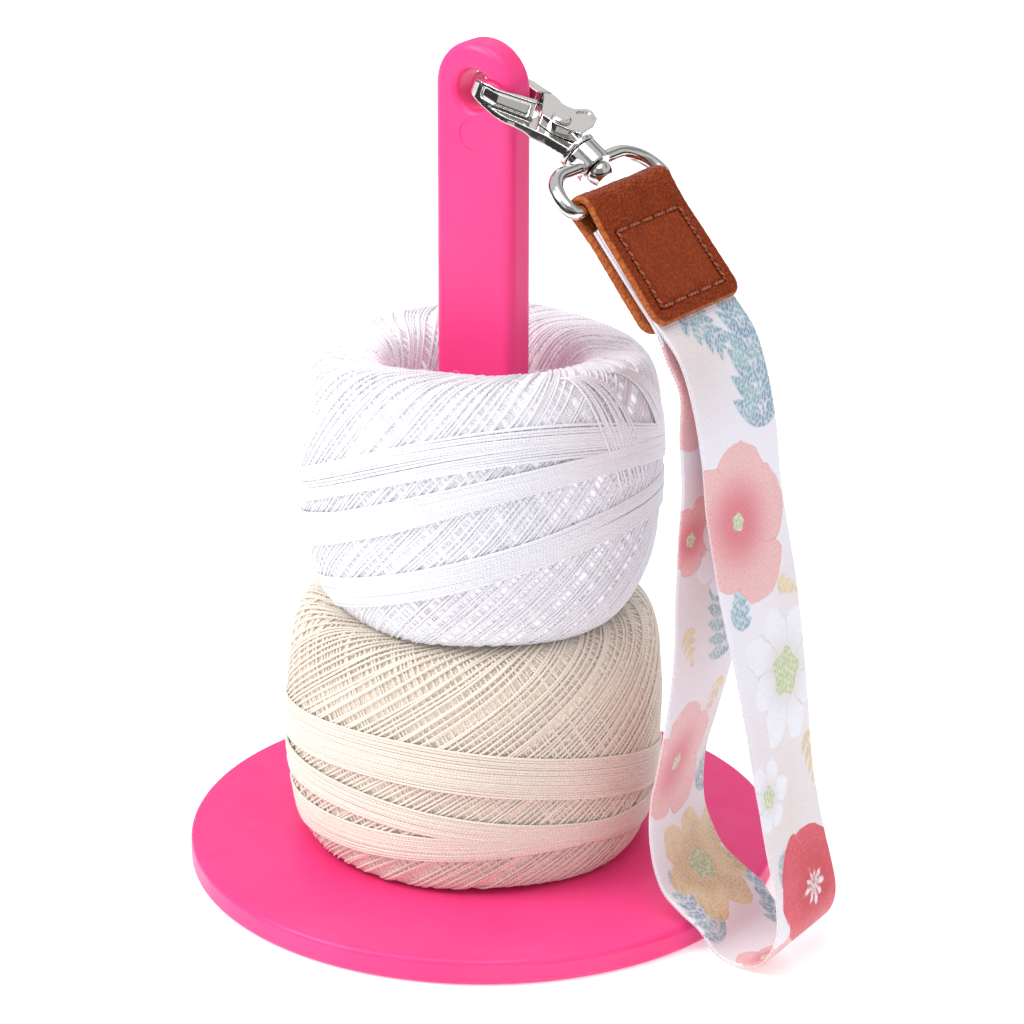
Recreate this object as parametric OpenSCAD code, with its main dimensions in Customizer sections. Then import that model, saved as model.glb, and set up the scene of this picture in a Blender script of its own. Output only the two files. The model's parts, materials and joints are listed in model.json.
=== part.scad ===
// Wrist yarn holder: a flat eyed post on a round base carries two balls of crochet thread.
// A swivel trigger clip hooks through the post's eye and holds a wrist loop of printed webbing.
// Millimetres. The origin is the centre of the base's underside, +Z is up, the post's wide
// faces look along -Y and +Y, and the wrist loop hangs on the +X side.

/* [Base] */
// Diameter of the round base
base_d = 122; // [112:1:126]
// Thickness of the base
base_t = 5.4; // [4.6:0.1:6.4]
// Rounding of the base's two rims
base_rim_r = 1.2; // [0.4:0.1:2]

/* [Post] */
// Width of the post
post_w = 19; // [18:0.5:20.5]
// Thickness of the post, front face to rear face
post_t = 7.4; // [6.4:0.1:7.6]
// Height of the eye's centre above the table
eye_z = 164.5; // [158:0.5:170]
// Bore of the eye
eye_d = 8; // [7.6:0.1:9]
// Rounding of the eye's two mouths
eye_mouth_r = 1.5; // [0.8:0.1:1.7]
// Rounding of the post's long edges
post_edge_r = 2; // [1:0.1:2.6]
// Diameter of the round witness mark below the eye
witness_d = 6.2; // [4:0.1:7]
// Depth of the round witness mark
witness_depth = 0.12; // [0.05:0.01:0.3]
// Drop of the witness mark's centre below the eye's centre
witness_drop = 8.9; // [8.8:0.1:12]

/* [Joint of post and base] */
// Width of the tenon under the post
tenon_w = 13; // [10:0.5:14]
// Thickness of the tenon under the post
tenon_t = 4.6; // [3.6:0.1:5]
// Depth that the tenon reaches into the base
tenon_l = 2.6; // [1.5:0.1:3]
// Clearance round the tenon
tenon_gap = 0.15; // [0.05:0.05:0.3]

/* [Base screw] */
// Diameter of the screw's shank
screw_d = 3; // [2.5:0.1:3.4]
// Diameter of the screw's countersunk head
screw_head_d = 5.6; // [5:0.1:6]
// Length of the screw, head included
screw_l = 16; // [12:1:22]
// Depth of the head below the base's underside
screw_sunk = 0.4; // [0.2:0.1:0.6]

/* [Balls of thread] */
// Largest diameter of the upper, white ball
white_d = 72; // [64:1:76]
// Height of the upper, white ball
white_h = 52.6; // [46:0.2:54]
// Largest diameter of the lower, cream ball
cream_d = 76.5; // [68.5:1:80.5]
// Height of the lower, cream ball
cream_h = 51.5; // [46:0.5:56]
// Diameter of the hole that the post passes through
ball_bore = 34; // [28:0.5:38]
// Distance that the cream ball sits off the post's middle, away from the wrist loop
cream_off = 1.5; // [0:0.1:1.6]
// Clearance under each ball
ball_gap = 0.3; // [0.3:0.1:0.6]

/* [Trigger clip] */
// Slope of the clip's flat below the horizontal, in degrees
clip_tilt = 21.5; // [18:0.5:25]
// Rise of the clip's middle plane above the eye's centre
clip_rise = 1.1; // [0.6:0.1:1.2]
// Clear width between the clip's two arms
clip_gap = 8.6; // [8.4:0.1:9.2]
// Width of each arm
arm_w = 2; // [1.8:0.1:2.2]
// Thickness of the clip's casting
clip_t = 4.4; // [3.8:0.1:4.8]
// Height of the front arm above the shank's floor at its claw
claw_rise = 4.2; // [3.8:0.1:4.6]
// Distance from the eye's centre to the centre of the claw's bend
nose_s = 4.9; // [4.7:0.1:5.2]
// Length of the clip's straight sides between its two bends
clip_side = 4.3; // [4.1:0.1:4.8]
// Distance from the eye's centre to the rivet
rivet_s = 18.6; // [18.4:0.1:19]
// Offset of the rivet from the clip's middle line
rivet_y = 0.9; // [0.4:0.1:1.2]
// Diameter of the rivet
rivet_d = 1.8; // [1.4:0.1:2]
// Diameter of the rivet's head
rivet_head_d = 4; // [3.2:0.1:4.4]
// Running clearance of the rivet and of the swivel stud, on the radius
run_gap = 0.05; // [0.03:0.01:0.08]
// Gap between the gate and what it slides over
gate_gap = 0.15; // [0.1:0.05:0.2]
// Wire of the gate's spring
spring_wire = 0.4; // [0.3:0.05:0.45]

/* [Swivel ring] */
// Slope of the swivel stud below the horizontal, in degrees
swivel_tilt = 34; // [32:0.5:36]
// Distance from the eye's centre to the middle of the ring's collar
collar_s = 27.7; // [27.6:0.1:28.4]
// Drop of the swivel stud's middle below the clip's middle plane
collar_drop = 1.5; // [1.2:0.1:1.8]
// Diameter of the collar
collar_d = 7.6; // [7:0.1:8.4]
// Length of the collar along the stud
collar_l = 4.4; // [4:0.1:4.8]
// Diameter of the swivel stud
stud_d = 3.2; // [2.8:0.1:3.4]
// Diameter of the stud's peened head
stud_head_d = 5.2; // [4.8:0.1:5.4]
// Wire of the ring
ring_wire = 2.9; // [2.5:0.1:3.2]
// Clear width inside the ring
ring_inner = 27.6; // [27.4:0.1:30]
// Distance from the collar's middle to the ring's straight bar
ring_drop = 9.7; // [9.6:0.1:10.6]

/* [Leather tab] */
// Slope of the tab from the vertical, in degrees
tab_tilt = 41; // [39:0.5:43]
// Width of the leather tab
tab_w = 26.8; // [26:0.1:27]
// Length of each flap, from the ring's bar to its lower edge
tab_l = 26.8; // [25.6:0.1:28]
// Thickness of the leather
leather_t = 1.6; // [1.2:0.1:1.8]
// Rounding of the flaps' lower corners
tab_corner_r = 3.2; // [1:0.1:5]
// Clearance between the leather and the ring's bar
fold_gap = 0.1; // [0.05:0.05:0.2]
// Distance of the stitching from the flaps' edges
stitch_margin = 3.3; // [2.5:0.1:4]
// Length of the stitched rectangle along the tab
stitch_l = 16.8; // [15:0.1:17.4]
// Stitches across the tab
stitch_n_across = 5; // [4:1:7]
// Stitches along the tab
stitch_n_along = 8; // [6:1:10]
// Diameter of the sewing thread
stitch_d = 0.7; // [0.4:0.1:0.9]

/* [Wrist loop] */
// Width of the webbing
web_w = 25; // [22:0.5:26]
// Thickness of the webbing
web_t = 0.8; // [0.6:0.05:0.9]
// Gap between the webbing's two ends in the tab
web_gap = 0.2; // [0.15:0.05:0.3]
// Height of the loop's lowest point above the table
web_rest = 0.5; // [0.3:0.1:1.5]

/* [Hidden] */
$fn = 96;
eps = 0.01;
post_top_r = post_w / 2;
witness_z = eye_z - witness_drop;
ball_floor = base_t + ball_gap;
ball_split = ball_floor + cream_h;

// Clip frame: x runs from the eye to the swivel, z is the clip's thickness
nose_in_r = clip_gap / 2;
nose_out_r = nose_in_r + arm_w;
bend_s = nose_s + clip_side;       // centre of the clip's second bend
seam_s = bend_s + 1.6;             // where the claw ends and the gate begins
seam_gap = 0.25;
seam_r = norm([rivet_s - seam_s, nose_out_r - rivet_y]);   // the seam is an arc about the rivet
floor_top = -gate_gap;             // top of the shank under the gate
plate_end_s = rivet_s + 6.35;
hub_r = 2.5;
spring_r = rivet_d / 2 + 0.3 + spring_wire / 2;
spring_h = 2.1 * spring_wire;
rivet_head_t = 0.8;

// Swivel frame: x runs down the stud from the collar's middle
swivel_gap = 0.2;
flange_t = 1;
flange_d = 8;
ring_half = (ring_inner + ring_wire) / 2;
ring_low_r = 1.9;
ring_high_r = 6.8;
ring_top = 0.7;

// Centre of the collar and of the ring's bar, as [x, z]
collar_c = [0, eye_z + clip_rise] + collar_s * [cos(clip_tilt), -sin(clip_tilt)]
  - collar_drop * [sin(clip_tilt), cos(clip_tilt)];
bar_c = collar_c + ring_drop * [cos(swivel_tilt), -sin(swivel_tilt)];

// Tab frame: x runs down the flaps from the ring's bar, z is the tab's thickness
fold_in_r = ring_wire / 2 + fold_gap;
fold_out_r = fold_in_r + leather_t;
pack_half = web_t + web_gap / 2 + 0.05;   // inner face of each flap where it is sewn
web_start = 4.5;
stitch_x0 = tab_l - stitch_margin - stitch_l;
pinch_x = stitch_x0 - stitch_d;           // from here on the flaps lie flat on the webbing
stitch_half = tab_w / 2 - stitch_margin;

pink = [0.93, 0.13, 0.50];
chrome = [0.80, 0.80, 0.82];
steel = [0.62, 0.63, 0.65];
leather = [0.50, 0.23, 0.10];
stitch_brown = [0.42, 0.18, 0.08];
print_white = [0.95, 0.88, 0.87];
thread_white = [0.96, 0.96, 0.97];
thread_cream = [0.95, 0.90, 0.80];

// ---- Frames ----

module clip_frame() translate([0, 0, eye_z + clip_rise]) rotate([0, clip_tilt, 0]) children();

module swivel_frame() translate([collar_c[0], 0, collar_c[1]]) rotate([0, swivel_tilt, 0]) children();

module tab_frame() translate([bar_c[0], 0, bar_c[1]]) rotate([0, 90 - tab_tilt, 0]) children();

// A plane figure drawn in X and Z, given a depth along Y about the middle
module upright(depth) rotate([90, 0, 0]) linear_extrude(depth, center = true) children();

// A cylinder along X
module rod_x(x0, x1, d, d1 = 0) translate([x0, 0, 0]) rotate([0, 90, 0])
  cylinder(h = x1 - x0, d1 = d, d2 = d1 == 0 ? d : d1);

module rounded_rect(w, h, r) {
  square([w - 2 * r, h], center = true);
  square([w, h - 2 * r], center = true);
  for (i = [-1, 1], j = [-1, 1]) translate([i * (w / 2 - r), j * (h / 2 - r)]) circle(r);
}

// ---- Stand ----

module base_profile() {
  square([base_d / 2 - base_rim_r, base_t]);
  translate([0, base_rim_r]) square([base_d / 2, base_t - 2 * base_rim_r]);
  for (z = [base_rim_r, base_t - base_rim_r])
    translate([base_d / 2 - base_rim_r, z]) circle(base_rim_r);
}

module base_disc() color(pink) difference() {
  rotate_extrude($fn = 180) base_profile();
  translate([0, 0, base_t - tenon_l - tenon_gap]) linear_extrude(tenon_l + tenon_gap + eps)
    square([tenon_w + 2 * tenon_gap, tenon_t + 2 * tenon_gap], center = true);
  translate([0, 0, -eps]) cylinder(h = base_t, d = screw_d + 0.4);
  screw_recess();
}

// The countersink and the straight sink above the screw's head
module screw_recess() {
  cone_h = (screw_head_d - screw_d) / 2;
  translate([0, 0, -eps]) cylinder(h = screw_sunk + eps, d = screw_head_d + 0.2);
  translate([0, 0, screw_sunk - eps])
    cylinder(h = cone_h + eps, d1 = screw_head_d + 0.2, d2 = screw_d + 0.2);
}

module post() color(pink) difference() {
  union() {
    translate([0, 0, base_t]) linear_extrude(eye_z - base_t) rounded_rect(post_w, post_t, post_edge_r);
    translate([0, 0, eye_z]) rotate([90, 0, 0]) rotate_extrude(angle = 180) intersection() {
      rounded_rect(post_w, post_t, post_edge_r);
      translate([0, -post_t]) square([post_w, 2 * post_t]);
    }
    translate([0, 0, base_t - tenon_l]) linear_extrude(tenon_l + eps)
      square([tenon_w, tenon_t], center = true);
  }
  translate([0, 0, eye_z]) rotate([90, 0, 0]) eye_cutter();
  translate([0, -post_t / 2 + witness_depth, witness_z]) rotate([90, 0, 0])
    cylinder(h = 1, d = witness_d);
  translate([0, 0, base_t - tenon_l - eps]) cylinder(h = screw_l - base_t + tenon_l + 1, d = screw_d + 0.04);
}

// The eye's bore with a rounded mouth at each face
module eye_cutter() {
  cylinder(h = post_t + 2, d = eye_d, center = true);
  for (side = [-1, 1]) mirror([0, 0, side < 0 ? 1 : 0])
    rotate_extrude() translate([0, post_t / 2 - eye_mouth_r]) difference() {
      square([eye_d / 2 + eye_mouth_r, eye_mouth_r + eps]);
      translate([eye_d / 2 + eye_mouth_r, 0]) circle(eye_mouth_r);
    }
}

module base_screw() color(steel) translate([0, 0, screw_sunk]) difference() {
  cone_h = (screw_head_d - screw_d) / 2;
  union() {
    cylinder(h = cone_h, d1 = screw_head_d, d2 = screw_d);
    cylinder(h = screw_l - 2, d = screw_d);
    translate([0, 0, screw_l - 2]) cylinder(h = 2, d1 = screw_d, d2 = 0.6);
  }
  for (turn = [0, 90]) rotate(turn) translate([-1.5, -0.35, -eps]) cube([3, 0.7, 1]);
}

// ---- Balls of thread ----

function sign_of(v) = v < 0 ? -1 : 1;

// A rounded ring section: half sizes a and b, roundness n; the outside narrows downwards by taper
function ring_section(a, b, n, taper, count) = [for (i = [0:count - 1])
  let (t = 360 * i / count, x = sign_of(cos(t)) * pow(abs(cos(t)), 2 / n),
    z = sign_of(sin(t)) * pow(abs(sin(t)), 2 / n))
  [a * x * (1 - taper * pow(x > 0 ? min(z, 0) : 0, 2)), b * z]];

module yarn_ball(d, h, roundness, taper) {
  a = (d - ball_bore) / 4;
  translate([0, 0, h / 2]) rotate_extrude($fn = 120) translate([ball_bore / 2 + a, 0])
    polygon(ring_section(a, h / 2, roundness, taper, 48));
}

module yarn_ball_white() color(thread_white)
  translate([0, 0, ball_split + ball_gap]) yarn_ball(white_d, white_h, 3.1, 0.3);

module yarn_ball_cream() color(thread_cream)
  translate([-cream_off, 0, ball_floor]) yarn_ball(cream_d, cream_h, 3.8, 0.25);

// ---- Trigger clip ----

// An arc of points about c
function arc(c, r, a0, a1, n = 18) = [for (i = [0:n]) let (t = a0 + (a1 - a0) * i / n)
  c + r * [cos(t), sin(t)]];

// Outline of both bends at radius r, seen square to the clip's flat
module clip_oval(r) polygon(concat(arc([nose_s, 0], r, 90, 270), arc([bend_s, 0], r, 270, 450)));

// Flat of the shank, from the mouth to the flange: the front rail narrows towards the swivel
module shank_outline() polygon([[nose_s, -nose_out_r], [bend_s, -nose_out_r],
  [rivet_s - 3.8, -nose_out_r + 1.7], [rivet_s + 0.7, -nose_out_r + 3.2], [plate_end_s, -2.4],
  [plate_end_s, 2], [rivet_s + 1, rivet_y + hub_r + 0.3], [rivet_s - 1, rivet_y + hub_r + 0.6],
  [seam_s + 1.2, nose_out_r - 1.4], [seam_s - 1, nose_in_r + 0.4]]);

// What stands above the floor: the nose bend, the rear arm up to the seam, and the front
// arm, whose claw points in towards the rivet
module claw_outline() {
  difference() {
    clip_oval(nose_out_r);
    clip_oval(nose_in_r);
    translate([nose_s, -20]) square(20);
  }
  polygon([[nose_s, nose_in_r], [nose_s, nose_out_r], [nose_s + 1.5, nose_out_r + 0.6],
    [seam_s + 2, nose_out_r + 0.9], [seam_s + 2, nose_in_r]]);
  polygon([[nose_s, -nose_out_r], [nose_s + 2.3, -nose_out_r + 0.2], [bend_s + 5.1, -2.4],
    [bend_s + 4.3, -1], [bend_s - 0.7, -nose_in_r], [nose_s, -nose_in_r]]);
}

// Side view of the clip below its floor
module floor_side_view() polygon([[-nose_out_r, -0.5], [3.5, -0.8], [8, -1.4], [bend_s + 5.6, -1.6],
  [rivet_s - 2.2, -clip_t / 2], [plate_end_s - 0.45, -clip_t / 2], [plate_end_s, floor_top],
  [-nose_out_r, floor_top]]);

// Side view of the front arm: it rises from the nose to the claw
module claw_side_view() polygon([[-nose_out_r, floor_top - 0.1], [bend_s + 5.8, floor_top - 0.1],
  [bend_s + 5.1, claw_rise], [nose_s, claw_rise - 0.4], [1.9, claw_rise - 1.2], [-0.3, 1.9],
  [-nose_out_r, 1.3]]);

module hook_body() color(chrome) {
  clip_frame() difference() {
    union() {
      intersection() {
        linear_extrude(2 * clip_t, center = true) difference() {
          union() { clip_oval(nose_out_r); shank_outline(); }
          clip_oval(nose_in_r);
        }
        upright(4 * nose_out_r) floor_side_view();
      }
      intersection() {
        translate([0, 0, -1]) linear_extrude(claw_rise + 1) claw_outline();
        upright(4 * nose_out_r) claw_side_view();
      }
    }
    // the rear arm ends level with the gate
    translate([0, 0, clip_t / 2 - floor_top]) cube([30, 20, 10]);
    // the gate turns over the floor, inside the seam
    translate([0, 0, floor_top]) linear_extrude(clip_t) intersection() {
      translate([rivet_s, rivet_y]) circle(seam_r);
      translate([0, -0.6]) square(30);
    }
    nose_relief();
    arm_channel();
    translate([rivet_s, rivet_y, 0]) cylinder(h = 3 * clip_t, d = rivet_d + 0.02, center = true);
  }
  swivel_stud();
}

// Room between the nose and the eye that it passes through
module nose_relief() translate([clip_rise * sin(clip_tilt), 0, -clip_rise * cos(clip_tilt)])
  rotate([90, 0, 0]) for (side = [-1, 1]) mirror([0, 0, side < 0 ? 1 : 0]) rotate_extrude()
    polygon([[eye_d / 2 - 0.3, 0], [7.5, 0], [7.5, post_t / 2 + 0.3],
      [eye_d / 2 + 1.1, post_t / 2 + 0.3], [eye_d / 2 - 0.3, post_t / 2 - 0.75]]);

// Long hollow in the outer side of the front arm, between its rail and its upper flange
module arm_channel() intersection() {
  linear_extrude(claw_rise) polygon([[3.6, -8], [4, 0.75 - nose_out_r], [nose_s + 2.3, 0.95 - nose_out_r],
    [bend_s + 3.9, -2.35], [bend_s + 6, -5], [bend_s, -9]]);
  upright(4 * nose_out_r) polygon([[3.6, 0.6], [bend_s + 4.4, 0.6], [bend_s + 4.1, claw_rise - 0.9],
    [nose_s, claw_rise - 1.3], [3.6, claw_rise - 1.8]]);
}

// Flange, stud and peened head
module swivel_stud() swivel_frame() {
  flange_x = -collar_l / 2 - swivel_gap;
  rod_x(flange_x - flange_t, flange_x, flange_d);
  rod_x(flange_x - eps, collar_l / 2 + swivel_gap + 0.6, stud_d);
  difference() {
    translate([collar_l / 2 + swivel_gap + 0.9, 0, 0]) sphere(d = stud_head_d);
    translate([-10 + collar_l / 2 + swivel_gap, -5, -5]) cube(10);
    translate([collar_l / 2 + swivel_gap + 2.7, -5, -5]) cube(10);
  }
}

// Finger, hub and thumb tab of the gate
module gate_outline() {
  tip_r = seam_r - seam_gap;
  polygon(concat(
    arc([rivet_s, rivet_y], tip_r, 180 - asin((nose_out_r + 0.7 - rivet_y) / tip_r),
      180 - asin((nose_in_r + 1 - rivet_y) / tip_r), 4),
    [[bend_s + 2.1, nose_in_r + 0.2], [rivet_s - 3.5, -1], [rivet_s - 2.9, -1.5]],
    arc([rivet_s, rivet_y], hub_r, 250, 290, 6),
    [[rivet_s + 3.2, -0.5]], arc([rivet_s + 4.7, 1.3], 0.6, -60, 5, 4),
    arc([rivet_s + 3.9, 5.4], 0.8, 5, 45, 4), arc([rivet_s + 2.3, 8.1], 1, 30, 65, 4),
    arc([rivet_s + 0.6, 8.9], 1.1, 65, 165, 8),
    [[rivet_s - 0.9, 7.9], [rivet_s - 1.5, 6.9], [rivet_s - 2.6, 6.3], [rivet_s - 4, 6.15],
     [rivet_s - 5.2, 6.7]]));
}

module gate_lever() color(chrome) clip_frame() difference() {
  translate([0, 0, floor_top + gate_gap]) linear_extrude(clip_t / 2 - floor_top) gate_outline();
  translate([rivet_s, rivet_y, 0]) cylinder(h = 3 * clip_t, d = rivet_d + 2 * run_gap, center = true);
  // pocket for the spring
  translate([rivet_s, rivet_y, floor_top])
    cylinder(h = spring_h + 0.2, r = spring_r + spring_wire / 2 + 0.15);
  // pressed pad on the thumb tab
  translate([rivet_s + 1.4, 7, clip_t / 2 + gate_gap - 0.3]) rotate(-26)
    linear_extrude(1) rounded_rect(3, 3.2, 0.9);
}

module gate_rivet() color(chrome) clip_frame() translate([rivet_s, rivet_y, 0]) {
  translate([0, 0, -clip_t / 2 - 0.5]) cylinder(h = 0.5, d1 = rivet_d + 1, d2 = rivet_d + 1.6);
  translate([0, 0, -clip_t / 2 - eps]) cylinder(h = clip_t + gate_gap + 2 * eps, d = rivet_d);
  translate([0, 0, clip_t / 2 + gate_gap]) {
    cylinder(h = rivet_head_t / 2, d = rivet_head_d);
    translate([0, 0, rivet_head_t / 2]) cylinder(h = rivet_head_t / 2, d1 = rivet_head_d, d2 = rivet_head_d - 1);
  }
}

// Two closed turns and the leg that bears on the casting
module gate_spring() color(steel) clip_frame() translate([rivet_s, rivet_y, floor_top]) {
  for (turn = [0, 1]) translate([0, 0, spring_wire * (0.6 + 0.9 * turn)])
    rotate_extrude($fn = 48) translate([spring_r, 0]) circle(d = spring_wire, $fn = 16);
  translate([0.3, 0.1 - spring_r, spring_wire * 0.6]) rotate([0, -90, 6])
    cylinder(h = 0.75 * spring_r, d = 0.8 * spring_wire, $fn = 16);
}

// ---- Swivel ring ----

module ring_arc(r, x, y, from) translate([x, y, 0]) rotate(from)
  rotate_extrude(angle = 90) translate([r, 0]) circle(d = ring_wire, $fn = 40);

module ring_rod(p, q) translate([p[0], p[1], 0])
  rotate([0, 90, atan2(q[1] - p[1], q[0] - p[0])]) cylinder(h = norm(q - p), d = ring_wire, $fn = 40);

module swivel_ring() color(chrome) swivel_frame() difference() {
  union() {
    rod_x(-collar_l / 2, collar_l / 2, collar_d);
    ring_rod([ring_drop, -ring_half + ring_low_r], [ring_drop, ring_half - ring_low_r]);
    for (side = [-1, 1]) mirror([0, side < 0 ? 1 : 0, 0]) {
      ring_arc(ring_low_r, ring_drop - ring_low_r, ring_half - ring_low_r, 0);
      ring_arc(ring_high_r, ring_top + ring_high_r, ring_half - ring_high_r, 90);
      ring_rod([ring_top + ring_high_r, ring_half], [ring_drop - ring_low_r, ring_half]);
      ring_rod([ring_top, 0], [ring_top, ring_half - ring_high_r]);
    }
  }
  rod_x(-collar_l, collar_l, stud_d + 2 * run_gap);
}

// ---- Leather tab ----

// One flap seen from its edge: from the fold it closes on to the webbing, then runs straight
module flap_edge() polygon([[0, fold_in_r], [pinch_x, pack_half], [tab_l, pack_half],
  [tab_l, pack_half + leather_t], [pinch_x, pack_half + leather_t], [0, fold_out_r]]);

module leather_tab() color(leather) tab_frame() intersection() {
  union() {
    upright(tab_w) difference() {
      circle(fold_out_r);
      circle(fold_in_r);
      translate([0, -10]) square(20);
    }
    upright(tab_w) for (side = [0, 1]) mirror([0, side]) flap_edge();
  }
  // rounded lower corners
  linear_extrude(20, center = true) translate([tab_l / 2 - 10, 0])
    rounded_rect(tab_l + 20, tab_w, tab_corner_r);
}

// One stitch lying on the leather, from p to q
module stitch(p, q) {
  inset = 0.22 * (q - p);
  translate([p[0] + inset[0], p[1] + inset[1], 0])
    rotate([0, 90, atan2(q[1] - p[1], q[0] - p[0])]) cylinder(h = norm(q - p - 2 * inset), d = stitch_d, $fn = 16);
}

module stitch_row(p, q, n) for (i = [0:n - 1]) stitch(p + (q - p) * i / n, p + (q - p) * (i + 1) / n);

module stitch_rectangle() {
  corner = [[stitch_x0, -stitch_half], [stitch_x0, stitch_half],
    [stitch_x0 + stitch_l, stitch_half], [stitch_x0 + stitch_l, -stitch_half]];
  for (i = [0:3]) stitch_row(corner[i], corner[(i + 1) % 4], i % 2 == 0 ? stitch_n_across : stitch_n_along);
}

module stitching(side) color(stitch_brown) tab_frame()
  translate([0, 0, side * (pack_half + leather_t + stitch_d / 2)]) stitch_rectangle();

module stitching_front() stitching(1);

module stitching_rear() stitching(-1);

// ---- Wrist loop ----

function tab_point(x, z) = bar_c + x * [sin(tab_tilt), -cos(tab_tilt)] + z * [cos(tab_tilt), sin(tab_tilt)];

// Middle of the webbing as [x, z]: out of the tab, down the outer run, round the bend that
// stands on the table beside the base, up the inner run and back into the tab
web_half_gap = (web_t + web_gap) / 2;
base_edge = base_d / 2;
floor_z = web_rest + web_t / 2;
web_path = concat(
  [tab_point(web_start, web_half_gap), tab_point(12, web_half_gap), tab_point(19, web_half_gap),
   tab_point(tab_l, web_half_gap), tab_point(tab_l + 7.5, 0.5)],
  [for (p = [[-1.6, 114.8], [0.7, 104.5], [2.0, 94], [4.3, 83], [6.8, 72], [9.2, 61], [11.3, 49.5],
    [13.2, 38], [15.6, 27], [18.2, 17.5], [19.2, 9.5], [16.4, 3.4]]) [base_edge + p[0], p[1]]],
  [[base_edge + 10.6, floor_z], [base_edge + 5.4, floor_z + 1], [base_edge + 1.4, base_t + 0.4],
   [base_edge - 3.6, base_t + 3], [base_edge - 8.4, base_t + 6.6]],
  [for (p = [[-11.8, 20], [-12, 30], [-9.8, 40], [-7.2, 52], [-5.5, 63], [-4.8, 75], [-4.3, 88],
    [-3.8, 98], [-4.5, 108]]) [base_edge + p[0], p[1]]],
  [tab_point(tab_l + 12.5, -3.6), tab_point(tab_l + 6, -2), tab_point(tab_l, -web_half_gap),
   tab_point(19, -web_half_gap),
   tab_point(12, -web_half_gap), tab_point(web_start, -web_half_gap)]);

// A smooth curve through all points of a path
function blend(a, b, c, d, t) = 0.5 * (2 * b + (c - a) * t + (2 * a - 5 * b + 4 * c - d) * t * t
  + (3 * b - a - 3 * c + d) * t * t * t);
function smooth(p, steps) = let (last = len(p) - 1) concat(
  [for (i = [0:last - 1], k = [0:steps - 1])
    blend(p[max(i - 1, 0)], p[i], p[i + 1], p[min(i + 2, last)], k / steps)], [p[last]]);
// The same curve moved sideways by half the webbing's thickness
function beside(p, off) = [for (i = [0:len(p) - 1])
  let (t = p[min(i + 1, len(p) - 1)] - p[max(i - 1, 0)]) p[i] + off * [t[1], -t[0]] / norm(t)];

module webbing_loop() color(print_white) {
  line = smooth(web_path, 4);
  back = beside(line, -web_t / 2);
  upright(web_w) polygon(concat(beside(line, web_t / 2), [for (i = [len(back) - 1:-1:0]) back[i]]));
}

base_disc();
post();
base_screw();
hook_body();
gate_lever();
gate_rivet();
gate_spring();
swivel_ring();
leather_tab();
stitching_front();
stitching_rear();
webbing_loop();
yarn_ball_white();
yarn_ball_cream();
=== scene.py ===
"""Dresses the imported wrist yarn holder: pink moulded stand, wound balls of thread, plated trigger
clip, stitched leather tab and a printed webbing loop. Lengths are millimetres unless a name or a
comment says metres; MM turns them into Blender's metres."""

import json
import math

import bmesh
import bpy
import numpy as np
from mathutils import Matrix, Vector


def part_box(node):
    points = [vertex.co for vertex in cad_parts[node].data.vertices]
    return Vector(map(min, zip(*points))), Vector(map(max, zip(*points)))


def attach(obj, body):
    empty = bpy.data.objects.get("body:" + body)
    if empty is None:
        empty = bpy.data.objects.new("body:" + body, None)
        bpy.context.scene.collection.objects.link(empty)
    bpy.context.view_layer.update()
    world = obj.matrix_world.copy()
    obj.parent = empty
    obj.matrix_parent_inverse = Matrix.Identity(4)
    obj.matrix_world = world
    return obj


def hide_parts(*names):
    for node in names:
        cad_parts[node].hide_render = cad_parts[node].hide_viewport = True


MM = 0.001
SEED = 7

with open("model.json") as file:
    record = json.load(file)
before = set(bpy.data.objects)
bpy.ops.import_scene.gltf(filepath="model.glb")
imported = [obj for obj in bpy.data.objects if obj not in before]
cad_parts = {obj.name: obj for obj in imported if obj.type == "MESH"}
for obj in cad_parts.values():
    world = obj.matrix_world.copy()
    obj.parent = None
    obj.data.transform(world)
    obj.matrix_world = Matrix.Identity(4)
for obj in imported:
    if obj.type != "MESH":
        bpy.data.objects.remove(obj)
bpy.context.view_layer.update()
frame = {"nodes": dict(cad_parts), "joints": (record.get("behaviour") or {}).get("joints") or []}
JOINTS = {joint["name"]: np.array(joint["pos_m"]) / MM for joint in frame["joints"]}


# ---- Camera, lights and backdrop ----

VIEW_AZIMUTH, VIEW_ELEVATION = 37.5, 21.465    # degrees
# the studio is counted in metres
VIEW_TARGET = Vector((0, 0, 0.080))
VIEW_DISTANCE, LAMP_DISTANCE, SCREEN_DISTANCE = 0.8, 1.3, 1.6
FLOOR_HALF, CARD_HALF, CARD_HEIGHT = 3.0, 1.2, 0.004


def add_object(name, data):
    obj = bpy.data.objects.new(name, data)
    bpy.context.collection.objects.link(obj)
    return obj


def heading(azimuth, elevation):
    """The direction from the object to a place round it, in degrees; azimuth 0 is the front, -Y."""
    a, e = math.radians(azimuth), math.radians(elevation)
    return Vector((math.sin(a) * math.cos(e), -math.cos(a) * math.cos(e), math.sin(e)))


def around(azimuth, elevation, distance):
    return VIEW_TARGET + distance * heading(azimuth, elevation)


def add_camera():
    data = bpy.data.cameras.new("camera")
    data.lens = 139.05
    data.shift_x, data.shift_y = 0.0279, -0.0203
    data.clip_start, data.clip_end = 0.05, 20
    camera = add_object("camera", data)
    back = heading(VIEW_AZIMUTH, VIEW_ELEVATION)
    camera.location = VIEW_TARGET + VIEW_DISTANCE * back
    camera.rotation_euler = (-back).to_track_quat("-Z", "Y").to_euler()
    bpy.context.scene.camera = camera


def add_softbox(name, azimuth, elevation, size, watts):
    data = bpy.data.lights.new(name, "AREA")
    data.shape = "DISK"
    data.size = size
    data.energy = watts
    lamp = add_object(name, data)
    lamp.location = place = around(azimuth, elevation, LAMP_DISTANCE)
    lamp.rotation_euler = (VIEW_TARGET - place).to_track_quat("-Z", "Y").to_euler()


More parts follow.
